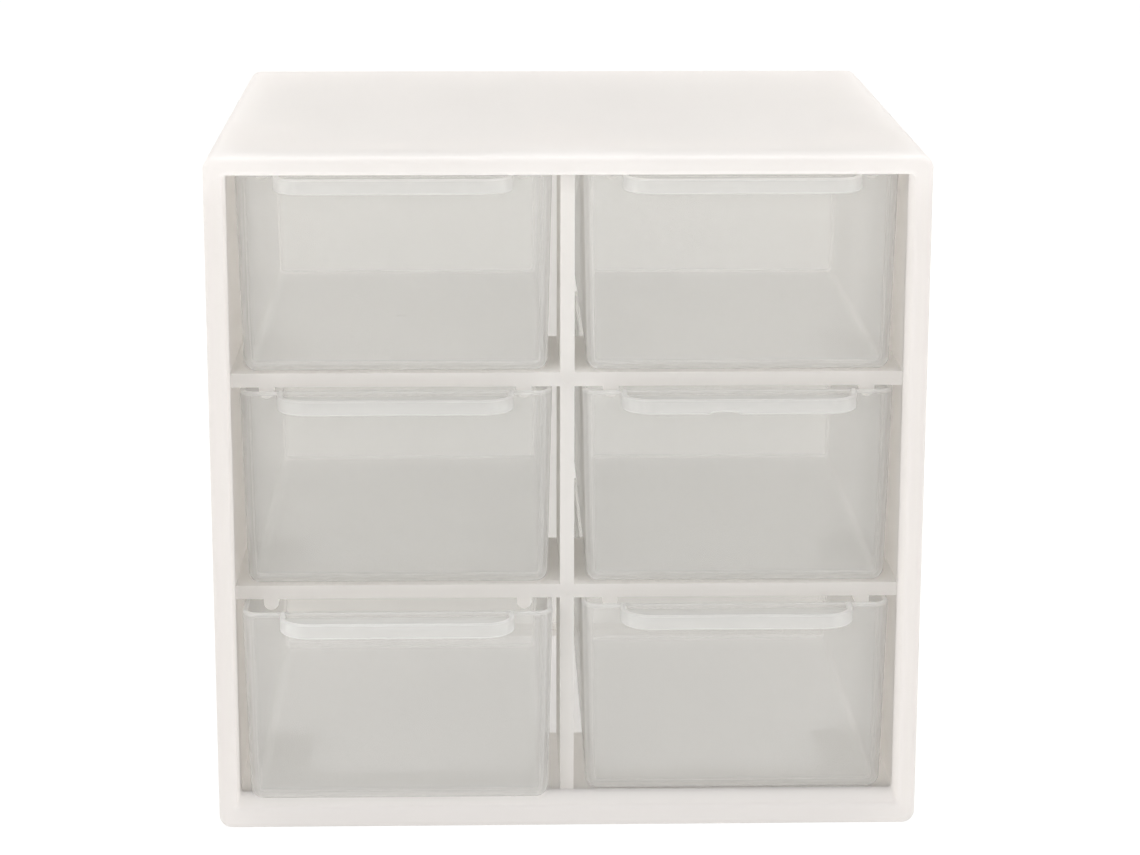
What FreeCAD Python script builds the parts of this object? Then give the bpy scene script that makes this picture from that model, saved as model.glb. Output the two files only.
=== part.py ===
"""Desk organizer: a front-open moulded case with six pull-out drawers.

Millimetres, +Z up, +X to the right, the drawers face -Y.  The origin is the
centre of the case's underside, on the surface that the case stands on.
"""
import FreeCAD
import Part
import Sketcher
import math
import os
import re

DOC = FreeCAD.newDocument("DeskOrganizer")

# Driving dimensions: alias, value in millimetres (or degrees), meaning.
DIMENSIONS = (
    ("CaseWidth", 168.0, "outside width of the case"),
    ("CaseDepth", 153.0, "front bezel plane to rear edge"),
    ("CaseHeight", 163.1, "underside to top"),
    ("CaseWall", 2.2, "wall behind the bezel"),
    ("CaseCorner", 3.0, "radius of the four long outside corners"),
    ("BezelFront", 1.8, "rounding of the bezel's outer edge"),
    ("BezelInner", 1.1, "rounding of the bezel's inner edge"),
    ("BezelDepth", 11.3, "bezel plane to the front of the grid"),
    ("OpeningHalf", 79.5, "half width of the front opening"),
    ("FloorLevel", 5.5, "height of the lowest cell's floor"),
    ("CellHeight", 48.9, "clear height of a cell"),
    ("ShelfThick", 3.3, "thickness of shelves and divider"),
    ("GridDepth", 41.0, "depth of the grid"),
    ("GridGap", 0.1, "slip clearance of grid and rear panel in the case"),
    ("BarDepth", 12.0, "front bar of each shelf, front to window"),
    ("WindowNear", 7.4, "shelf window's side towards the divider"),
    ("WindowFar", 64.2, "shelf window's side towards the case wall"),
    ("WindowCorner", 7.0, "corner radius of the shelf windows"),
    ("TabWidth", 3.6, "width of a stop tab"),
    ("TabHang", 2.7, "how far a stop tab hangs into the cell"),
    ("TabThick", 3.0, "thickness of a stop tab, front to back"),
    ("TabNear", 10.3, "centre of the stop tab beside the divider"),
    ("TabFar", 71.1, "centre of the stop tab beside the case wall"),
    ("PanelThick", 2.4, "thickness of the rear panel"),
    ("PanelInset", 0.8, "rear panel's face inside the rear edge"),
    ("FlangeDepth", 6.0, "rear panel's flange, front to back"),
    ("FlangeThick", 1.8, "thickness of the rear panel's flange"),
    ("LatchHigh", 0.5, "height of a snap pip"),
    ("LatchLong", 12.0, "length of a snap pip"),
    ("DrawerWidth", 74.0, "outside width of a drawer at its rim"),
    ("DrawerLength", 120.0, "outside length of a drawer at its rim"),
    ("DrawerHeight", 47.8, "underside to rim of a drawer"),
    ("DrawerWall", 1.2, "wall of a drawer"),
    ("DrawerDraft", 1.4, "draft of a drawer's walls, degrees"),
    ("DrawerShrink", 1.168, "how far the draft narrows each side at the base"),
    ("DrawerCorner", 3.0, "upright corner radius at a drawer's base"),
    ("DrawerBottom", 2.9, "rounding of a drawer's bottom edge"),
    ("DrawerSetback", 9.8, "bezel plane to the rim of a closed drawer"),
    ("DrawerLift", 0.3, "running clearance under a drawer"),
    ("LowerLeftOut", 7.5, "how far the lower left drawer stands open"),
    ("LowerRightOut", 1.9, "how far the lower right drawer stands open"),
    ("LipHalf", 27.8, "half width of the finger lip"),
    ("LipReach", 8.6, "how far the finger lip stands out"),
    ("LipCorner", 7.3, "corner radius of the finger lip in plan"),
    ("LipBase", 43.9, "lower edge of the lip's border, above the drawer base"),
    ("LipTall", 3.6, "height of the lip's border"),
    ("LipThick", 1.3, "thickness of the lip's border"),
    ("LipTray", 1.0, "the web's top below the border's top"),
    ("LipSkirt", 1.4, "the web's underside above the border's lower edge"),
    ("LipBite", 0.7, "how far the lip is let into the drawer's wall"),
    ("NubRadius", 0.75, "radius of the nub at each end of the border"),
    ("NubTop", 48.2, "top of the nubs above the drawer base"),
    ("MarkRadius", 1.125, "radius of the round ejector marks"),
    ("MarkDeep", 0.15, "depth of the round ejector marks"),
)

# Cell columns and rows: name, and the position as a multiple of the pitch.
COLUMNS = (("left", -1), ("right", 1))
ROWS = (("bottom", 0), ("middle", 1), ("top", 2))

# Heights of the snap pips on the side walls, and their places along the width.
LATCH_HEIGHTS = (42.0, 121.0)
LATCH_PLACES = (-45.0, 45.0)


def make_sheet():
    """Fill the spreadsheet that every size is bound to."""
    sheet = DOC.addObject("Spreadsheet::Sheet", "Dimensions")
    for row, (alias, value, meaning) in enumerate(DIMENSIONS, 1):
        sheet.set("A%d" % row, meaning)
        sheet.set("B%d" % row, str(value))
        sheet.setAlias("B%d" % row, alias)
    DOC.recompute()
    return sheet


SHEET = make_sheet()
SCRATCH = DOC.addObject("Spreadsheet::Sheet", "Scratch")


def bound(text):
    """Point each alias in an expression at the spreadsheet."""
    aliases = "|".join(alias for alias, _, _ in DIMENSIONS)
    return re.sub(r"\b(" + aliases + r")\b", r"<<Dimensions>>.\1", text)


def number(text):
    """Work out an expression in the scratch sheet, which nothing depends on."""
    SCRATCH.set("A1", "=" + bound(text))
    SCRATCH.recompute()
    return float(SCRATCH.get("A1"))


def new_body(label, x="0", y="0", z="0"):
    """Start a sub-part whose place is bound to the sheet."""
    body = DOC.addObject("PartDesign::Body", label)
    body.Label = label
    for axis, text in (("x", x), ("y", y), ("z", z)):
        body.setExpression("Placement.Base." + axis, bound(text))
    return body


def new_sketch(body, name, role, offset="0"):
    """Lay a sketch on one of the body's own planes, moved along its normal."""
    sketch = body.newObject("Sketcher::SketchObject", name)
    plane = [item for item in body.Origin.OriginFeatures if item.Role == role][0]
    sketch.AttachmentSupport = [(plane, "")]
    sketch.MapMode = "FlatFace"
    sketch.setExpression("AttachmentOffset.Base.z", bound(offset))
    return sketch


def at(x, y):
    """Point of a sketch."""
    return FreeCAD.Vector(x, y, 0)


def pin(sketch, kind, geometry, point, text):
    """Bind one coordinate of a sketch point to an expression."""
    rule = Sketcher.Constraint(kind, -1, 1, geometry, point, number(text))
    index = sketch.addConstraint(rule)
    sketch.setExpression("Constraints[%d]" % index, bound(text))


def bind_radius(sketch, geometry, text):
    """Bind the radius of a circle or an arc to an expression."""
    index = sketch.addConstraint(Sketcher.Constraint("Radius", geometry, number(text)))
    sketch.setExpression("Constraints[%d]" % index, bound(text))


def quarter_arc(sketch, centre, radius, start):
    """Add a quarter circle that starts at the given number of quarter turns."""
    full = Part.Circle(centre, FreeCAD.Vector(0, 0, 1), radius)
    sketch.addGeometry(Part.ArcOfCircle(full, start * math.pi / 2, (start + 1) * math.pi / 2), False)


def rectangle(sketch, left, right, low, high):
    """Draw a rectangle whose four sides are bound to expressions."""
    x_low, x_high, y_low, y_high = [number(text) for text in (left, right, low, high)]
    corners = [at(x_low, y_low), at(x_high, y_low), at(x_high, y_high), at(x_low, y_high)]
    first = sketch.GeometryCount
    for index in range(4):
        line = Part.LineSegment(corners[index], corners[(index + 1) % 4])
        sketch.addGeometry(line, False)
    for index in range(4):
        after = first + (index + 1) % 4
        kind = "Vertical" if index % 2 else "Horizontal"
        sketch.addConstraint(Sketcher.Constraint("Coincident", first + index, 2, after, 1))
        sketch.addConstraint(Sketcher.Constraint(kind, first + index))
    pin(sketch, "DistanceX", first, 1, left)
    pin(sketch, "DistanceX", first, 2, right)
    pin(sketch, "DistanceY", first, 1, low)
    pin(sketch, "DistanceY", first + 2, 1, high)


def rounded_rectangle(sketch, left, right, low, high, radius):
    """Draw a rectangle with four equal round corners, bound to expressions."""
    x_low, x_high, y_low, y_high = [number(text) for text in (left, right, low, high)]
    corner = number(radius)
    corners = [at(x_low, y_low), at(x_high, y_low), at(x_high, y_high), at(x_low, y_high)]
    for index in range(4):
        start, end = corners[index], corners[(index + 1) % 4]
        along = (end - start).normalize() * corner
        inward = at(-along.y, along.x)
        sketch.addGeometry(Part.LineSegment(start + along, end - along), False)
        quarter_arc(sketch, end + inward - along, corner, index - 1)
    for index in range(0, 8, 2):
        sketch.addConstraint(Sketcher.Constraint("Tangent", index, 2, index + 1, 1))
        sketch.addConstraint(Sketcher.Constraint("Tangent", index + 1, 2, (index + 2) % 8, 1))
        sketch.addConstraint(Sketcher.Constraint("Vertical" if index % 4 else "Horizontal", index))
        if index:
            sketch.addConstraint(Sketcher.Constraint("Equal", 1, index + 1))
    bind_radius(sketch, 1, radius)
    pin(sketch, "DistanceY", 0, 1, low)
    pin(sketch, "DistanceX", 2, 1, right)
    pin(sketch, "DistanceY", 4, 1, high)
    pin(sketch, "DistanceX", 6, 1, left)


def lip_profile(sketch, half, front, back, radius):
    """Draw the lip's plan: round corners at the front, square ones at the wall."""
    wide, near_y, far_y, corner = [number(text) for text in (half, front, back, radius)]
    points = (at(corner - wide, near_y), at(wide - corner, near_y), at(wide, near_y + corner),
              at(wide, far_y), at(-wide, far_y), at(-wide, near_y + corner))
    for start, end in ((0, 1), (2, 3), (3, 4), (4, 5)):
        sketch.addGeometry(Part.LineSegment(points[start], points[end]), False)
    quarter_arc(sketch, at(wide - corner, near_y + corner), corner, -1)
    quarter_arc(sketch, at(corner - wide, near_y + corner), corner, 2)
    for kind, first, second in (("Tangent", 0, 4), ("Tangent", 4, 1), ("Coincident", 1, 2),
                                ("Coincident", 2, 3), ("Tangent", 3, 5), ("Tangent", 5, 0)):
        sketch.addConstraint(Sketcher.Constraint(kind, first, 2, second, 1))
    for kind, line in (("Horizontal", 0), ("Vertical", 1), ("Horizontal", 2), ("Vertical", 3)):
        sketch.addConstraint(Sketcher.Constraint(kind, line))
    sketch.addConstraint(Sketcher.Constraint("Equal", 4, 5))
    bind_radius(sketch, 4, radius)
    pin(sketch, "DistanceY", 0, 1, front)
    pin(sketch, "DistanceX", 1, 1, half)
    pin(sketch, "DistanceY", 2, 1, back)
    pin(sketch, "DistanceX", 3, 1, "-(%s)" % half)


def circle(sketch, across, up, radius):
    """Draw a circle bound to expressions."""
    ring = Part.Circle(at(number(across), number(up)), FreeCAD.Vector(0, 0, 1), number(radius))
    index = sketch.addGeometry(ring, False)
    bind_radius(sketch, index, radius)
    pin(sketch, "DistanceX", index, 3, across)
    pin(sketch, "DistanceY", index, 3, up)


def check(feature, body):
    """Stop at the first feature that has no valid shape."""
    if "Invalid" in feature.State or "Error" in feature.State or not feature.Shape.isValid():
        raise RuntimeError("%s of %s failed" % (feature.Name, body.Label))


def extrude(body, kind, name, sketch, length, backward=False, taper=None):
    """Pad or pocket a sketch, and check that the volume changed the right way."""
    before = body.Shape.Volume if body.Tip else 0.0
    feature = body.newObject("PartDesign::" + kind, name)
    feature.Profile = sketch
    feature.Reversed = backward
    feature.setExpression("Length", bound(length))
    if taper:
        feature.setExpression("TaperAngle", bound(taper))
    DOC.recompute()
    check(feature, body)
    grew = feature.Shape.Volume > before
    if feature.Shape.Volume == before or grew != (kind == "Pad"):
        raise RuntimeError("%s of %s goes the wrong way" % (name, body.Label))
    return feature


def fillet(body, name, radius, wanted):
    """Round every edge of the body's tip that the test picks."""
    tip = body.Tip
    picked = ["Edge%d" % n for n, edge in enumerate(tip.Shape.Edges, 1) if wanted(edge)]
    if not picked:
        raise RuntimeError("%s of %s finds no edge" % (name, body.Label))
    feature = body.newObject("PartDesign::Fillet", name)
    feature.Base = (tip, picked)
    feature.setExpression("Radius", bound(radius))
    DOC.recompute()
    check(feature, body)
    return feature


def size(alias):
    """Read one driving dimension."""
    return float(SHEET.get(alias))


def runs_along(edge, axis):
    """Tell whether an edge is straight and parallel to an axis."""
    box = edge.BoundBox
    spans = {"x": box.XLength, "y": box.YLength, "z": box.ZLength}
    others = [spans[name] for name in spans if name != axis]
    return spans[axis] > 1e-3 and max(others) < 1e-3


def near(value, *targets):
    """Tell whether a coordinate is one of the targets."""
    return any(abs(value - target) < 0.02 for target in targets)


def level(row):
    """Expression for the floor of a row of cells."""
    return "(FloorLevel + %d * (CellHeight + ShelfThick))" % row


CEILING = "(FloorLevel + 3 * CellHeight + 2 * ShelfThick)"


def make_case():
    """One-piece case: bezel, walls, and the seats for grid and rear panel."""
    body = new_body("case_shell", y="-CaseDepth / 2")
    block = new_sketch(body, "BlockSketch", "XZ_Plane")
    rectangle(block, "-CaseWidth / 2", "CaseWidth / 2", "0", "CaseHeight")
    extrude(body, "Pad", "Block", block, "CaseDepth", backward=True)
    fillet(body, "LongCorners", "CaseCorner", lambda edge: runs_along(edge, "y"))

    opening = new_sketch(body, "OpeningSketch", "XZ_Plane")
    rectangle(opening, "-OpeningHalf", "OpeningHalf", "FloorLevel", CEILING)
    extrude(body, "Pocket", "FrontOpening", opening, "BezelDepth")

    cavity = new_sketch(body, "CavitySketch", "XZ_Plane", "-BezelDepth")
    rectangle(cavity, "-CaseWidth / 2 + CaseWall", "CaseWidth / 2 - CaseWall",
              "CaseWall", "CaseHeight - CaseWall")
    extrude(body, "Pocket", "RearCavity", cavity, "CaseDepth - BezelDepth")

    half_inside = size("CaseWidth") / 2 - size("CaseWall")
    fillet(body, "OpeningCorners", "0.8 mm",
           lambda edge: runs_along(edge, "y") and near(abs(edge.CenterOfMass.x), size("OpeningHalf")))
    fillet(body, "CavityCorners", "1.2 mm",
           lambda edge: runs_along(edge, "y") and near(abs(edge.CenterOfMass.x), half_inside))

    def on_front(edge, outside):
        box = edge.BoundBox
        inside_opening = (abs(edge.CenterOfMass.x) < size("OpeningHalf") + 0.5
                          and 4.5 < edge.CenterOfMass.z < size("CaseHeight") - 3.5)
        return near(box.YMin, 0) and near(box.YMax, 0) and inside_opening != outside

    fillet(body, "BezelOuterEdge", "BezelFront", lambda edge: on_front(edge, True))
    fillet(body, "BezelInnerEdge", "BezelInner", lambda edge: on_front(edge, False))

    # Ridges that hold the grid against the bezel's back.
    ridges = new_sketch(body, "RidgeSketch", "XZ_Plane", "-BezelDepth - GridDepth - 0.3")
    for height in LATCH_HEIGHTS:
        low, high = "%g - LatchLong / 2" % height, "%g + LatchLong / 2" % height
        rectangle(ridges, "CaseWidth / 2 - CaseWall - LatchHigh", "CaseWidth / 2 - CaseWall / 2",
                  low, high)
        rectangle(ridges, "-CaseWidth / 2 + CaseWall / 2", "-CaseWidth / 2 + CaseWall + LatchHigh",
                  low, high)
    extrude(body, "Pad", "GridRidges", ridges, "1.5", backward=True)

    # Sockets for the pips of the rear panel's flange.
    sockets = new_sketch(body, "SocketSketch", "XZ_Plane", "-CaseDepth + PanelInset + PanelThick + 5")
    for height in LATCH_HEIGHTS:
        low, high = "%g - LatchLong / 2 - 0.3" % height, "%g + LatchLong / 2 + 0.3" % height
        rectangle(sockets, "CaseWidth / 2 - CaseWall - 1", "CaseWidth / 2 - CaseWall + LatchHigh + 0.2",
                  low, high)
        rectangle(sockets, "-CaseWidth / 2 + CaseWall - LatchHigh - 0.2",
                  "-CaseWidth / 2 + CaseWall + 1", low, high)
    extrude(body, "Pocket", "PipSockets", sockets, "2.6")

    # Small round ejector mark low on the left of the bezel.
    mark = new_sketch(body, "MarkSketch", "XZ_Plane")
    circle(mark, "-CaseWidth / 2 + 3.7", "19.7", "MarkRadius / 2")
    extrude(body, "Pocket", "BezelMark", mark, "MarkDeep")
    return body


def make_grid():
    """Divider and shelves in one frame, slid in from the rear."""
    body = new_body("grid_insert", y="-CaseDepth / 2 + BezelDepth")
    frame = new_sketch(body, "FrameSketch", "XZ_Plane")
    rectangle(frame, "-CaseWidth / 2 + CaseWall + GridGap", "CaseWidth / 2 - CaseWall - GridGap",
              "CaseWall + GridGap", "CaseHeight - CaseWall - GridGap")
    extrude(body, "Pad", "Frame", frame, "GridDepth", backward=True)
    fillet(body, "FrameCorners", "1.2 mm", lambda edge: runs_along(edge, "y"))

    cells = new_sketch(body, "CellSketch", "XZ_Plane")
    for _, side in COLUMNS:
        edges = ("ShelfThick / 2", "OpeningHalf") if side > 0 else ("-OpeningHalf", "-ShelfThick / 2")
        for _, row in ROWS:
            rectangle(cells, edges[0], edges[1], level(row), level(row) + " + CellHeight")
    extrude(body, "Pocket", "Cells", cells, "GridDepth")

    # Each level keeps a front bar and two arms around a window open to the rear.
    windows = new_sketch(body, "WindowSketch", "XY_Plane")
    rectangle(windows, "WindowNear", "WindowFar", "BarDepth", "GridDepth + 1")
    rectangle(windows, "-WindowFar", "-WindowNear", "BarDepth", "GridDepth + 1")
    extrude(body, "Pocket", "Windows", windows, "CaseHeight", backward=True)
    fillet(body, "WindowCorners", "WindowCorner",
           lambda edge: runs_along(edge, "z") and near(edge.CenterOfMass.y, size("BarDepth")))

    # Stop tabs: they meet the front wall of a closed drawer and the rear wall of an open one.
    tabs = new_sketch(body, "TabSketch", "XZ_Plane")
    ends = new_sketch(body, "TabEndSketch", "XZ_Plane")
    for _, row in ROWS:
        top = level(row) + " + CellHeight"
        for place in ("TabNear", "TabFar", "-TabNear", "-TabFar"):
            rectangle(tabs, place + " - TabWidth / 2", place + " + TabWidth / 2",
                      top + " - TabHang + TabWidth / 2", top + " + 0.5")
            circle(ends, place, top + " - TabHang + TabWidth / 2", "TabWidth / 2")
    extrude(body, "Pad", "StopTabs", tabs, "TabThick", backward=True)
    extrude(body, "Pad", "TabEnds", ends, "TabThick", backward=True)

    # Round ejector marks where the divider crosses the shelves.
    marks = new_sketch(body, "MarkSketch", "XZ_Plane")
    for row in (1, 2):
        circle(marks, "0", level(row) + " - ShelfThick / 2", "MarkRadius")
    extrude(body, "Pocket", "EjectorMarks", marks, "MarkDeep")
    return body


def make_panel():
    """Rear panel with a flange whose pips snap into the case."""
    body = new_body("rear_panel", y="CaseDepth / 2 - PanelInset - PanelThick")
    left, right = "-CaseWidth / 2 + CaseWall + GridGap", "CaseWidth / 2 - CaseWall - GridGap"
    low, high = "CaseWall + GridGap", "CaseHeight - CaseWall - GridGap"
    plate = new_sketch(body, "PlateSketch", "XZ_Plane")
    rectangle(plate, left, right, low, high)
    extrude(body, "Pad", "Plate", plate, "FlangeDepth", backward=False)
    rear = new_sketch(body, "RearSketch", "XZ_Plane")
    rectangle(rear, left, right, low, high)
    extrude(body, "Pad", "Back", rear, "PanelThick", backward=True)
    fillet(body, "PanelCorners", "1.2 mm", lambda edge: runs_along(edge, "y"))

    hollow = new_sketch(body, "HollowSketch", "XZ_Plane", "FlangeDepth")
    rectangle(hollow, left + " + FlangeThick", right + " - FlangeThick",
              low + " + FlangeThick", high + " - FlangeThick")
    extrude(body, "Pocket", "Hollow", hollow, "FlangeDepth")

    pips = new_sketch(body, "PipSketch", "XZ_Plane", "3")
    for height in LATCH_HEIGHTS:
        bottom, top = "%g - LatchLong / 2" % height, "%g + LatchLong / 2" % height
        rectangle(pips, right + " - 1", right + " + LatchHigh", bottom, top)
        rectangle(pips, left + " - LatchHigh", left + " + 1", bottom, top)
    extrude(body, "Pad", "SnapPips", pips, "1.8")

    # Finger-wide shallow field, so that the panel stays flat as it cools.
    field = new_sketch(body, "FieldSketch", "XZ_Plane", "-PanelThick")
    rectangle(field, left + " + 9", right + " - 9", low + " + 9", high + " - 9")
    extrude(body, "Pocket", "Field", field, "0.6", backward=True)
    fillet(body, "FieldCorners", "6 mm",
           lambda edge: runs_along(edge, "y") and near(edge.BoundBox.YLength, 0.6))
    return body


def make_drawer(label, side, row, out):
    """Thin-walled drawer with a tray-shaped finger lip along its front rim."""
    body = new_body(label, x="%d * (ShelfThick / 2 + OpeningHalf) / 2" % side,
                    y="-CaseDepth / 2 + DrawerSetback - " + out,
                    z=level(row) + " + DrawerLift")
    half = "(DrawerWidth / 2 - DrawerShrink)"
    base = new_sketch(body, "BaseSketch", "XY_Plane")
    rounded_rectangle(base, "-" + half, half, "DrawerShrink", "DrawerLength - DrawerShrink",
                      "DrawerCorner")
    extrude(body, "Pad", "Tub", base, "DrawerHeight", taper="DrawerDraft")
    fillet(body, "BottomEdge", "DrawerBottom", lambda edge: near(edge.BoundBox.ZMax, 0))

    inner = "(DrawerWidth / 2 - DrawerShrink - DrawerWall)"
    hollow = new_sketch(body, "HollowSketch", "XY_Plane", "DrawerWall")
    rounded_rectangle(hollow, "-" + inner, inner, "DrawerShrink + DrawerWall",
                      "DrawerLength - DrawerShrink - DrawerWall", "DrawerCorner - DrawerWall")
    extrude(body, "Pocket", "Hollow", hollow, "DrawerHeight", backward=True, taper="DrawerDraft")
    floor = size("DrawerWall")
    fillet(body, "InnerFloorEdge", "DrawerBottom - DrawerWall",
           lambda edge: near(edge.BoundBox.ZMin, floor) and near(edge.BoundBox.ZMax, floor))

    # Finger lip: a border standing above and below a flat web.
    lip = new_sketch(body, "LipSketch", "XY_Plane", "LipBase")
    lip_profile(lip, "LipHalf", "-LipReach", "LipBite", "LipCorner")
    extrude(body, "Pad", "Lip", lip, "LipTall")
    for name, offset, deep, upward in (
            ("Tray", "LipBase + LipTall", "LipTray", False),
            ("Underside", "LipBase", "LipSkirt", True)):
        sketch = new_sketch(body, name + "Sketch", "XY_Plane", offset)
        lip_profile(sketch, "LipHalf - LipThick", "-LipReach + LipThick", "-0.05", "LipCorner - LipThick")
        extrude(body, "Pocket", name, sketch, deep, backward=upward)

    # Rounded nubs where the border runs into the drawer's wall.
    nubs = new_sketch(body, "NubSketch", "XY_Plane", "LipBase")
    for sign in ("-", ""):
        circle(nubs, sign + "(LipHalf - NubRadius)", "-NubRadius - 0.05", "NubRadius")
    extrude(body, "Pad", "Nubs", nubs, "NubTop - LipBase")
    fillet(body, "NubEnds", "0.35 mm", lambda edge: near(edge.BoundBox.ZMin, size("NubTop")))
    return body


def all_parts():
    """Make every sub-part."""
    parts = [make_case(), make_grid(), make_panel()]
    standing_out = {("bottom", "left"): "LowerLeftOut", ("bottom", "right"): "LowerRightOut"}
    for row_name, row in ROWS:
        for side_name, side in COLUMNS:
            label = "drawer_%s_%s" % (row_name, side_name)
            out = standing_out.get((row_name, side_name), "0")
            parts.append(make_drawer(label, side, row, out))
    return parts


def write_parts(parts):
    """Check every object and shape, then export one STEP file per sub-part."""
    DOC.removeObject(SCRATCH.Name)
    DOC.recompute()
    for item in DOC.Objects:
        if "Invalid" in item.State or "Error" in item.State:
            raise RuntimeError("%s failed: %s" % (item.Label, item.State))
    for part in parts:
        shape = part.Shape
        if shape.isNull() or not shape.isValid() or len(shape.Solids) != 1:
            raise RuntimeError("%s is not one valid solid" % part.Label)
    os.makedirs("parts", exist_ok=True)
    for part in parts:
        part.Shape.exportStep("parts/%s.step" % part.Label)
        print(part.Label, round(part.Shape.Volume), "mm3")


write_parts(all_parts())
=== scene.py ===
"""Desk organizer: looks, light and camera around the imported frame."""
import bpy
import bmesh
import math
from mathutils import Matrix, Vector


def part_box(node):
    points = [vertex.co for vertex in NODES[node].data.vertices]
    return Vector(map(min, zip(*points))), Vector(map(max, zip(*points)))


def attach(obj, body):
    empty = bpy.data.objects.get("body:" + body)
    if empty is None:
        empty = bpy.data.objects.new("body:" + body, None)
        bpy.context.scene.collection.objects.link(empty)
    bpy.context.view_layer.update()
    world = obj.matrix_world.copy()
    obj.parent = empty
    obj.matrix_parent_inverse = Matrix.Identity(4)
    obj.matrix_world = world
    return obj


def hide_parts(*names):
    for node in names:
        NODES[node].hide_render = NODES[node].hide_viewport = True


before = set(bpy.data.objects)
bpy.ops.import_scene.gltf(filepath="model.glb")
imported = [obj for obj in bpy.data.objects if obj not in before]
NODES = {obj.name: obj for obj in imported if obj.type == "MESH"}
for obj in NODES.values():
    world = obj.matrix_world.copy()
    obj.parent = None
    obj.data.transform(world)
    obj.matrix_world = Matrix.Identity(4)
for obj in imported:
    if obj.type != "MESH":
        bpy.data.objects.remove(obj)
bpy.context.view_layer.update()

MM = 0.001
SCENE = bpy.context.scene

# Sizes of the drawers, in millimetres, as the CAD parts have them.
RIM_HALF, RIM_LONG, RIM_HIGH = 37.0, 120.0, 47.8
WALL, DRAFT, RIM_CORNER = 1.2, math.radians(1.4), 4.168
FOOT_ROUND, INNER_ROUND, RIM_ROUND = 2.9, 1.7, 0.5
LIP_HALF, LIP_REACH, LIP_CORNER = 27.8, 8.6, 7.3
LIP_BASE, LIP_TALL, LIP_THICK = 43.9, 3.6, 1.3
WEB_LOW, WEB_HIGH, NUB_TOP = 45.3, 46.5, 48.2
# Heights of the points on a wall, and the gate mark's levels with its taper.
WALL_STEPS = (12.0, 24.0, 36.0, 46.7)
GATE_LEVELS = ((WALL - 0.2, 0.0), (WALL + 0.12, 0.0), (WALL + 0.28, 0.15))
# How far the web runs under the border, and into the drawer's wall.
WEB_LAP, WEB_ROOT = 0.25, 0.45
# Where the lip's ends run into the wall, and the nub that rises on each.
LIP_ROOT = (0.6, 0.2, -0.1, -0.4, -0.7, -1.0)
NUB_Y, NUB_SPREAD, NUB_START = -0.35, 1.5, -1.85
FLOOR_INSET, FLOOR_CORNER = 1.5, 0.6
GATE_HALF_LONG, GATE_HALF_WIDE, GATE_CORNER = 1.3, 0.45, 0.4
TINY_CORNER = 0.12
# How milky the drawers' plastic looks, from 0, clear, to 1, white.
WALL_DENSE, RIM_DENSE, LIP_DENSE, WEB_DENSE, GATE_DENSE = 0.18, 0.88, 0.16, 0.13, 0.1
# The lip border's extra milkiness at its rounded top and bottom edges comes partly from the
# longer path through the rounding. The rest is painted highlight lines.
FOOT_EXTRA, BORDER_MILK_AND_HIGHLIGHT, SLANT_EXTRA = 0.12, 0.5, 0.62
# Heights over which the milkiness fades, below the rim, above the foot and
# from the border's edges.
RIM_FADE, FOOT_FADE, BORDER_FADE = 0.8, 3.6, 0.7
# Moulding nicks in a lip's lower edge: from and to along the lip, and depth.
NICKS = {"drawer_middle_right": (-7.4, -0.1, 0.6), "drawer_bottom_left": (-6.2, -2.2, 0.08)}
DRAWERS = [name for name in NODES if name.startswith("drawer_")]

# White plastics: darker patches, lighter patches, light let through.
# The case's whites are set darker than the grid's, though both parts are one plastic. This is
# painted shade that holds down the light falling on the case's bezel and top.
CASE_WHITE_PAINTED_SHADE = ((0.835, 0.806, 0.788), (0.855, 0.826, 0.808), (0.985, 0.968, 0.950))
GRID_WHITE = ((0.968, 0.954, 0.942), (0.978, 0.966, 0.955), (0.992, 0.984, 0.968))
FROST_WHITE = ((0.875, 0.875, 0.868), (0.895, 0.895, 0.888), (0.935, 0.933, 0.921))
FROST_CLEAR = (0.982, 0.982, 0.977)
WHITE_SHARE, FROST_SHARE = 0.62, 0.45
PLASTIC_IOR = 1.49

# Camera: turn, downward tilt and roll in degrees, place in metres, lens in mm.
CAMERA_ANGLES, CAMERA_PLACE = (1.561, 13.907, 0.11), (-0.01882, -0.77852, 0.2732)
CAMERA_LENS, CAMERA_SENSOR = 97.74, 36.0

# Lights: name, place, point aimed at, size, watts, colour.
FRONT_AIM, WARM = (0.0, -0.05, 0.06), (1.0, 0.962, 0.94)
WING_AIM, CREAM = (0.0, 0.0, 0.05), (1.0, 0.98, 0.95)
LIGHTS = (
    ("left", (-1.15, -1.6, 0.7), FRONT_AIM, (0.8, 0.8), 10.9, WARM),
    ("right", (1.25, -1.6, 0.7), FRONT_AIM, (0.8, 0.8), 9.1, WARM),
    ("top", (0.0, 0.15, 1.7), (0.0, 0.0, 0.1), (1.6, 0.6), 25.5, (0.93, 0.97, 1.0)),
    ("wing_left", (-1.5, 0.1, 0.4), WING_AIM, (1.0, 0.8), 5.0, CREAM),
    ("wing_right", (1.5, 0.1, 0.4), WING_AIM, (1.0, 0.8), 5.0, CREAM),
)
# Floor: half its side in metres, two greys, and how much it shines itself.
FLOOR_HALF, FLOOR_DARK, FLOOR_LIGHT, FLOOR_GLOW = 60.0, (0.17,) * 3, (0.18,) * 3, 0.86
# Sky: strength in front of and behind the object, strength where it meets
# the floor, and how high (as the sine of the angle) that whiter band reaches.
SKY_FRONT, SKY_BACK, HAZE, HAZE_TOP = 0.32, 0.64, 0.93, 0.3


# ---------------------------------------------------------------- meshes
def rounded_outline(x_low, x_high, y_low, y_high, radius, steps=7):
    """Corner points of a rounded rectangle, anticlockwise, in millimetres."""
    radius = max(radius, TINY_CORNER)
    centres = ((x_high - radius, y_low + radius), (x_high - radius, y_high - radius),
               (x_low + radius, y_high - radius), (x_low + radius, y_low + radius))
    points = []
    for corner, (cx, cy) in enumerate(centres):
        for step in range(steps + 1):
            turn = math.pi / 2 * (corner - 1 + step / steps)
            points.append((cx + radius * math.cos(turn), cy + radius * math.sin(turn)))
    return points


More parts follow.
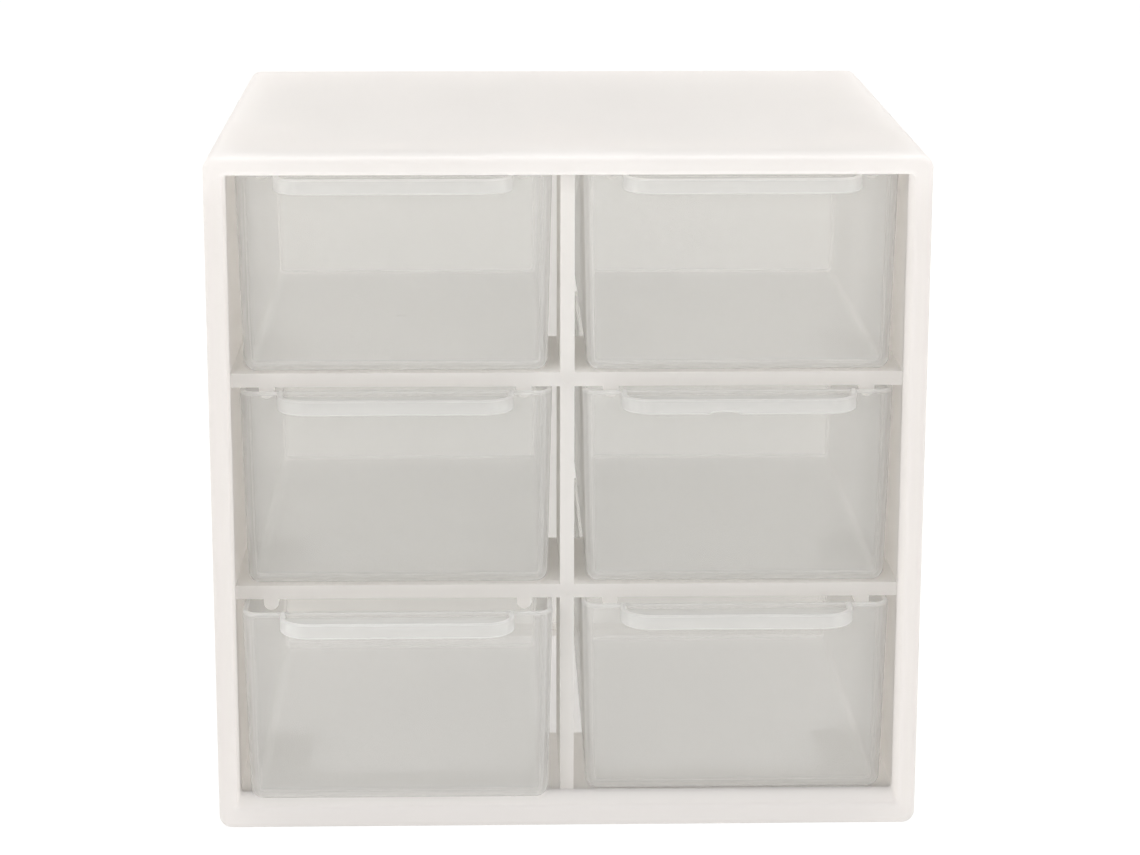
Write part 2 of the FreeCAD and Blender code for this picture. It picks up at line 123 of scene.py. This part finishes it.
def ring(bm, points, dense):
    """Vertices for points, each carrying how dense its plastic looks."""
    layer = bm.verts.layers.float["dense"]
    verts = []
    for point in points:
        vert = bm.verts.new(point)
        vert[layer] = dense
        verts.append(vert)
    return verts


def bridge(bm, lower, upper):
    """Join two rings of vertices with quads."""
    count = len(lower)
    for index in range(count):
        after = (index + 1) % count
        bm.faces.new((lower[index], lower[after], upper[after], upper[index]))


def arc(centre, radius, start, end, steps):
    """Points of an arc in a section, from one angle to the other, in degrees."""
    points = []
    for step in range(steps + 1):
        turn = math.radians(start + (end - start) * step / steps)
        points.append((centre[0] + radius * math.cos(turn), centre[1] + radius * math.sin(turn)))
    return points


def wall_inset(height):
    """How far the drafted wall stands inside the rim at a height."""
    return (RIM_HIGH - height) * math.tan(DRAFT)


def add_tub(bm):
    """Thin-walled tub: one section swept round the drawer's outline."""
    foot = wall_inset(FOOT_ROUND) + FOOT_ROUND
    inner_foot = wall_inset(WALL + INNER_ROUND) + WALL + INNER_ROUND
    section = arc((foot, FOOT_ROUND), FOOT_ROUND, 270, 180, 8)
    section += [(wall_inset(height), height) for height in WALL_STEPS]
    section += arc((RIM_ROUND, RIM_HIGH - RIM_ROUND), RIM_ROUND, 180, 90, 5)
    section += arc((WALL - RIM_ROUND, RIM_HIGH - RIM_ROUND), RIM_ROUND, 90, 0, 5)
    section += [(wall_inset(height) + WALL, height) for height in reversed(WALL_STEPS)]
    section += arc((inner_foot, WALL + INNER_ROUND), INNER_ROUND, 180, 270, 6)
    rings = []
    for inset, height in section:
        outline = rounded_outline(-RIM_HALF + inset, RIM_HALF - inset, inset, RIM_LONG - inset,
                                  RIM_CORNER - inset)
        near_rim = max(0.0, 1.0 - (RIM_HIGH - height) / RIM_FADE)
        near_foot = max(0.0, 1.0 - height / FOOT_FADE)
        dense = WALL_DENSE + (RIM_DENSE - WALL_DENSE) * near_rim + FOOT_EXTRA * near_foot
        rings.append(ring(bm, [(x, y, height) for x, y in outline], dense))
    for lower, upper in zip(rings, rings[1:]):
        bridge(bm, lower, upper)
    add_bottom(bm, rings[0], 0.0, foot)
    add_bottom(bm, rings[-1], WALL, inner_foot)


def add_bottom(bm, outer, height, inset):
    """Close a ring with a floor that is clear again a little way in."""
    inset += FLOOR_INSET
    outline = rounded_outline(-RIM_HALF + inset, RIM_HALF - inset, inset, RIM_LONG - inset,
                              FLOOR_CORNER)
    inner = ring(bm, [(x, y, height) for x, y in outline], WALL_DENSE)
    bridge(bm, outer, inner)
    bm.faces.new(inner)


def lip_path():
    """Plan of the lip border's middle line, with the distance along it."""
    half, corner = LIP_HALF - LIP_THICK / 2, LIP_CORNER - LIP_THICK / 2
    front = -LIP_REACH + LIP_THICK / 2
    points = [(-half, y) for y in LIP_ROOT]
    points += arc((-half + corner, front + corner), corner, 180, 270, 14)
    points += [(x * 0.5, front) for x in range(-39, 40)]
    points += arc((half - corner, front + corner), corner, 270, 360, 14)
    points += [(half, y) for y in reversed(LIP_ROOT)]
    return points


def torn_edge(x, low, high, depth):
    """How far the lip's lower edge is nicked at a place along it."""
    share = (x - low) / (high - low)
    if 0.0 < share < 1.0:
        return depth * math.sin(math.pi * share) ** 0.4
    return -0.12 * max(0.0, 1.0 - min(abs(x - low), abs(x - high)) / 0.8)


def add_border(bm, nick):
    """Border of the lip: a rounded strip whose ends rise into small nubs."""
    layer = bm.verts.layers.float["dense"]
    path = lip_path()
    rings = []
    for index, (x, y) in enumerate(path):
        before, after = path[max(index - 1, 0)], path[min(index + 1, len(path) - 1)]
        along = Vector((after[0] - before[0], after[1] - before[1])).normalized()
        across = Vector((along.y, -along.x))
        rise = max(0.0, 1.0 - ((y - NUB_Y) / NUB_SPREAD) ** 2) if y > NUB_START else 0.0
        top = LIP_BASE + LIP_TALL + (NUB_TOP - LIP_BASE - LIP_TALL) * math.sqrt(rise)
        base = LIP_BASE + (torn_edge(x, *nick) if nick and y < -LIP_CORNER else 0.0)
        outline = rounded_outline(-LIP_THICK / 2, LIP_THICK / 2, base, top, 0.5, steps=4)
        points = [(x + across.x * u, y + across.y * u, v) for u, v in outline]
        verts = ring(bm, points, LIP_DENSE)
        # Milkier toward the border's rounded edges: partly the longer path through the plastic
        # there, partly painted highlight lines along the edges.
        for vert in verts:
            edge_gap = min(vert.co.z - base, top - vert.co.z)
            vert[layer] += BORDER_MILK_AND_HIGHLIGHT * max(0.0, 1.0 - edge_gap / BORDER_FADE)
        rings.append(verts)
    for lower, upper in zip(rings, rings[1:]):
        bridge(bm, upper, lower)
    bm.faces.new(rings[0])
    bm.faces.new(reversed(rings[-1]))


def add_web(bm):
    """Flat web between the border and the drawer's wall."""
    half, corner = LIP_HALF - LIP_THICK + WEB_LAP, LIP_CORNER - LIP_THICK + WEB_LAP
    front = -LIP_REACH + LIP_THICK - WEB_LAP
    outline = [(-half, WEB_ROOT)]
    outline += arc((-half + corner, front + corner), corner, 180, 270, 12)
    outline += arc((half - corner, front + corner), corner, 270, 360, 12)
    outline.append((half, WEB_ROOT))
    low = ring(bm, [(x, y, WEB_LOW) for x, y in outline], WEB_DENSE)
    high = ring(bm, [(x, y, WEB_HIGH) for x, y in outline], WEB_DENSE)
    bridge(bm, low, high)
    bm.faces.new(reversed(low))
    bm.faces.new(high)


def add_gate(bm):
    """Gate vestige in the middle of the drawer's floor."""
    middle = RIM_LONG / 2
    outline = rounded_outline(-GATE_HALF_LONG, GATE_HALF_LONG, middle - GATE_HALF_WIDE,
                              middle + GATE_HALF_WIDE, GATE_CORNER, steps=4)
    rings = []
    for height, shrink in GATE_LEVELS:
        points = [(x * (1 - shrink), middle + (y - middle) * (1 - shrink), height)
                  for x, y in outline]
        rings.append(ring(bm, points, GATE_DENSE))
    for lower, upper in zip(rings, rings[1:]):
        bridge(bm, lower, upper)
    bm.faces.new(reversed(rings[0]))
    bm.faces.new(rings[-1])


def to_object(bm, name, place):
    """Turn millimetre geometry into a smooth object at its place in metres."""
    bmesh.ops.scale(bm, vec=(MM, MM, MM), verts=bm.verts)
    bmesh.ops.translate(bm, vec=place, verts=bm.verts)
    bmesh.ops.recalc_face_normals(bm, faces=bm.faces)
    mesh = bpy.data.meshes.new(name)
    bm.to_mesh(mesh)
    bm.free()
    mesh.shade_smooth()
    mesh.set_sharp_from_angle(angle=math.radians(40))
    piece = bpy.data.objects.new(name, mesh)
    SCENE.collection.objects.link(piece)
    return piece


# ------------------------------------------------------------- materials
class Nodes:
    """Small helper around one material's node tree."""

    def __init__(self, name):
        self.material = bpy.data.materials.new(name)
        self.material.use_nodes = True
        self.tree = self.material.node_tree
        self.shader = self.tree.nodes["Principled BSDF"]
        self.output = self.tree.nodes["Material Output"]
        self.place = self.tree.nodes.new("ShaderNodeTexCoord").outputs["Object"]

    def add(self, kind, **values):
        """New shader node; each value sets a property or an input."""
        node = self.tree.nodes.new("ShaderNode" + kind)
        for key, value in values.items():
            if hasattr(node, key):
                setattr(node, key, value)
            else:
                node.inputs[key.replace("_", " ")].default_value = value
        return node

    def link(self, source, target):
        """Join an output to an input."""
        self.tree.links.new(source, target)

    def noise(self, scale, detail=2.0, roughness=0.5):
        """Noise fixed to the object; scale is in cells per metre."""
        node = self.add("TexNoise", Scale=scale, Detail=detail, Roughness=roughness)
        self.link(self.place, node.inputs["Vector"])
        return node.outputs["Fac"]

    def spread(self, source, low, high, from_low=0.3, from_high=0.7):
        """Stretch a noise to run from low to high."""
        node = self.add("MapRange")
        for socket, value in (("From Min", from_low), ("From Max", from_high),
                              ("To Min", low), ("To Max", high)):
            node.inputs[socket].default_value = value
        self.link(source, node.inputs["Value"])
        return node.outputs["Result"]

    def tint(self, fac, first, second):
        """Blend two colours."""
        node = self.add("Mix", data_type="RGBA")
        self.link(fac, node.inputs["Factor"])
        for socket, colour in ((node.inputs[6], first), (node.inputs[7], second)):
            socket.default_value = (*colour, 1.0)
        return node.outputs[2]

    def mix_into_output(self, other, share):
        """Show the main shader with a share of another one."""
        node = self.add("MixShader")
        node.inputs[0].default_value = share
        self.link(self.shader.outputs[0], node.inputs[1])
        self.link(other.outputs[0], node.inputs[2])
        self.link(node.outputs[0], self.output.inputs["Surface"])
        return node

    def math(self, operation, first, second):
        """One sum of two sockets or numbers."""
        node = self.add("Math", operation=operation)
        for socket, value in zip(node.inputs, (first, second)):
            if isinstance(value, float):
                socket.default_value = value
            else:
                self.link(value, socket)
        return node.outputs[0]

    def bump(self, height, strength, distance, after=None):
        """Surface relief, on top of an earlier one if that is given."""
        node = self.add("Bump", Strength=strength, Distance=distance)
        self.link(height, node.inputs["Height"])
        if after:
            self.link(after, node.inputs["Normal"])
        return node.outputs["Normal"]


def case_plastic(name, colours):
    """White moulded plastic: fine spark-eroded grain, faint flow shading.

    Thin white walls let some light through, so a little of the surface is
    a translucent shader of a creamier colour.
    """
    shadow, light, glow_tint = colours
    mat = Nodes(name)
    shader = mat.shader
    broad = mat.spread(mat.noise(9.0, 2.0), 0.0, 1.0)
    colour = mat.tint(broad, shadow, light)
    mat.link(colour, shader.inputs["Base Color"])
    smudge = mat.spread(mat.noise(38.0, 3.0), 0.36, 0.46)
    mat.link(smudge, shader.inputs["Roughness"])
    grain = mat.bump(mat.noise(5200.0, 2.0, 0.6), 0.10, 0.00004)
    waves = mat.bump(mat.noise(14.0, 1.0), 0.25, 0.0004, grain)
    mat.link(waves, shader.inputs["Normal"])
    shader.inputs["IOR"].default_value = PLASTIC_IOR
    glow = mat.add("BsdfTranslucent")
    glow.inputs["Color"].default_value = (*glow_tint, 1.0)
    mat.mix_into_output(glow, WHITE_SHARE)
    return mat.material


def frosted_plastic():
    """Milky see-through polypropylene: part clear, part scattering.

    The vertex value "dense" says how much plastic a line of sight crosses:
    little in a wall, most along rims and in the lip. Along the lip border's
    rounded edges it also holds painted highlight lines.
    """
    mat = Nodes("drawer_frosted")
    shader = mat.shader
    cloud = mat.spread(mat.noise(22.0, 3.0), 0.0, 1.0)
    shadow, light, glow_tint = FROST_WHITE
    colour = mat.tint(cloud, shadow, light)
    mat.link(colour, shader.inputs["Base Color"])
    gloss_rough = mat.spread(mat.noise(60.0, 3.0), 0.13, 0.21)
    ripple = mat.bump(mat.noise(18.0, 1.0), 0.12, 0.0004)
    shader.inputs["Roughness"].default_value = 0.6
    shader.inputs["Specular IOR Level"].default_value = 0.1
    mat.link(ripple, shader.inputs["Normal"])
    shader.inputs["IOR"].default_value = PLASTIC_IOR
    glow = mat.add("BsdfTranslucent")
    glow.inputs["Color"].default_value = (*glow_tint, 1.0)
    body = mat.mix_into_output(glow, FROST_SHARE)
    clear = mat.add("BsdfTransparent")
    clear.inputs["Color"].default_value = (*FROST_CLEAR, 1.0)
    dense = mat.add("Attribute", attribute_name="dense")
    see = mat.add("MixShader")
    facing = mat.add("LayerWeight", Blend=0.5)
    slant = mat.math("MULTIPLY", facing.outputs["Facing"], SLANT_EXTRA)
    open_part = mat.math("SUBTRACT", 1.0, dense.outputs["Fac"])
    added = mat.math("MULTIPLY", open_part, slant)
    mat.link(mat.math("ADD", dense.outputs["Fac"], added), see.inputs[0])
    shine = mat.add("BsdfAnisotropic")
    mat.link(gloss_rough, shine.inputs["Roughness"])
    mat.link(ripple, shine.inputs["Normal"])
    skin = mat.add("MixShader")
    mirror = mat.math("MULTIPLY", mat.math("POWER", facing.outputs["Facing"], 4.0), 0.45)
    mat.link(mat.math("ADD", mirror, 0.03), skin.inputs[0])
    mat.link(see.outputs[0], skin.inputs[1])
    mat.link(shine.outputs[0], skin.inputs[2])
    mat.link(clear.outputs[0], see.inputs[1])
    mat.link(body.outputs[0], see.inputs[2])
    mat.link(skin.outputs[0], mat.output.inputs["Surface"])
    return mat.material


# ---------------------------------------------------------------- camera
def add_camera():
    """Camera a little above and to the left of the middle, looking down."""
    yaw, pitch, roll = map(math.radians, CAMERA_ANGLES)
    ahead = Vector((math.sin(yaw) * math.cos(pitch), math.cos(yaw) * math.cos(pitch),
                    -math.sin(pitch)))
    level = Vector((math.cos(yaw), -math.sin(yaw), 0.0))
    rise = level.cross(ahead)
    across = level * math.cos(roll) + rise * math.sin(roll)
    upward = rise * math.cos(roll) - level * math.sin(roll)
    data = bpy.data.cameras.new("camera")
    data.sensor_width = CAMERA_SENSOR
    data.lens = CAMERA_LENS
    camera = bpy.data.objects.new("camera", data)
    SCENE.collection.objects.link(camera)
    matrix = Matrix((across, upward, -ahead)).transposed().to_4x4()
    matrix.translation = Vector(CAMERA_PLACE)
    camera.matrix_world = matrix
    SCENE.camera = camera


def add_area(name, place, target, size, power, colour):
    """Soft rectangular light aimed at a point."""
    data = bpy.data.lights.new(name, "AREA")
    data.shape = "RECTANGLE"
    data.size, data.size_y = size
    data.energy = power
    data.color = colour
    light = bpy.data.objects.new(name, data)
    SCENE.collection.objects.link(light)
    light.location = place
    aim = Vector(target) - Vector(place)
    light.rotation_euler = aim.to_track_quat("-Z", "Y").to_euler()


def add_stage():
    """Pale floor and plain studio light."""
    bm = bmesh.new()
    bmesh.ops.create_grid(bm, x_segments=2, y_segments=2, size=FLOOR_HALF)
    mesh = bpy.data.meshes.new("floor")
    bm.to_mesh(mesh)
    bm.free()
    floor = bpy.data.objects.new("floor", mesh)
    SCENE.collection.objects.link(floor)
    mat = Nodes("floor_white")
    mat.link(mat.tint(mat.noise(3.0), FLOOR_DARK, FLOOR_LIGHT),
             mat.shader.inputs["Base Color"])
    mat.shader.inputs["Roughness"].default_value = 0.9
    mat.shader.inputs["Emission Color"].default_value = (1.0, 1.0, 1.0, 1.0)
    mat.shader.inputs["Emission Strength"].default_value = FLOOR_GLOW
    floor.data.materials.append(mat.material)

    world = bpy.data.worlds.new("studio")
    world.use_nodes = True
    tree = world.node_tree
    place = tree.nodes.new("ShaderNodeTexCoord")
    split = tree.nodes.new("ShaderNodeSeparateXYZ")
    fade = tree.nodes.new("ShaderNodeMapRange")
    fade.inputs["From Min"].default_value = -1.0
    fade.inputs["To Min"].default_value = SKY_FRONT
    fade.inputs["To Max"].default_value = SKY_BACK
    tree.links.new(place.outputs["Generated"], split.inputs[0])
    tree.links.new(split.outputs["Y"], fade.inputs["Value"])
    # The sky is white where it meets the floor, so no horizon line shows.
    height = tree.nodes.new("ShaderNodeMath")
    height.operation = "ABSOLUTE"
    haze = tree.nodes.new("ShaderNodeMapRange")
    haze.interpolation_type = "SMOOTHSTEP"
    haze.inputs["From Max"].default_value = HAZE_TOP
    haze.inputs["To Min"].default_value = HAZE
    haze.inputs["To Max"].default_value = 0.0
    brighter = tree.nodes.new("ShaderNodeMath")
    brighter.operation = "MAXIMUM"
    tree.links.new(split.outputs["Z"], height.inputs[0])
    tree.links.new(height.outputs[0], haze.inputs["Value"])
    tree.links.new(fade.outputs["Result"], brighter.inputs[0])
    tree.links.new(haze.outputs["Result"], brighter.inputs[1])
    tree.links.new(brighter.outputs[0], tree.nodes["Background"].inputs["Strength"])
    tree.nodes["Background"].inputs["Color"].default_value = (1.0, 1.0, 1.0, 1.0)
    SCENE.world = world
    for light in LIGHTS:
        add_area(*light)
    # Enough bounces for the insides, and for several see-through walls in a row.
    SCENE.cycles.max_bounces = 10
    SCENE.cycles.diffuse_bounces = 5
    SCENE.cycles.transmission_bounces = 8
    SCENE.cycles.transparent_max_bounces = 16
    SCENE.view_settings.view_transform = "Standard"


# ----------------------------------------------------------------- build
add_camera()
add_stage()
# The case's material is painted darker than the grid's, as painted shade on its well-lit bezel
# and top.
CASE = case_plastic("case_white", CASE_WHITE_PAINTED_SHADE)
GRID = case_plastic("grid_white", GRID_WHITE)
FROSTED = frosted_plastic()
for name, node in NODES.items():
    if not name.startswith("drawer_"):
        node.data.materials[0] = CASE if name == "case_shell" else GRID

for name in DRAWERS:
    low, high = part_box(name)
    place = Vector(((low.x + high.x) / 2, high.y - RIM_LONG * MM, low.z))
    bm = bmesh.new()
    bm.verts.layers.float.new("dense")
    add_tub(bm)
    add_border(bm, NICKS.get(name))
    add_web(bm)
    add_gate(bm)
    drawer = to_object(bm, name + "_frosted", place)
    drawer.data.materials.append(FROSTED)
    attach(drawer, name)
    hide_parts(name)
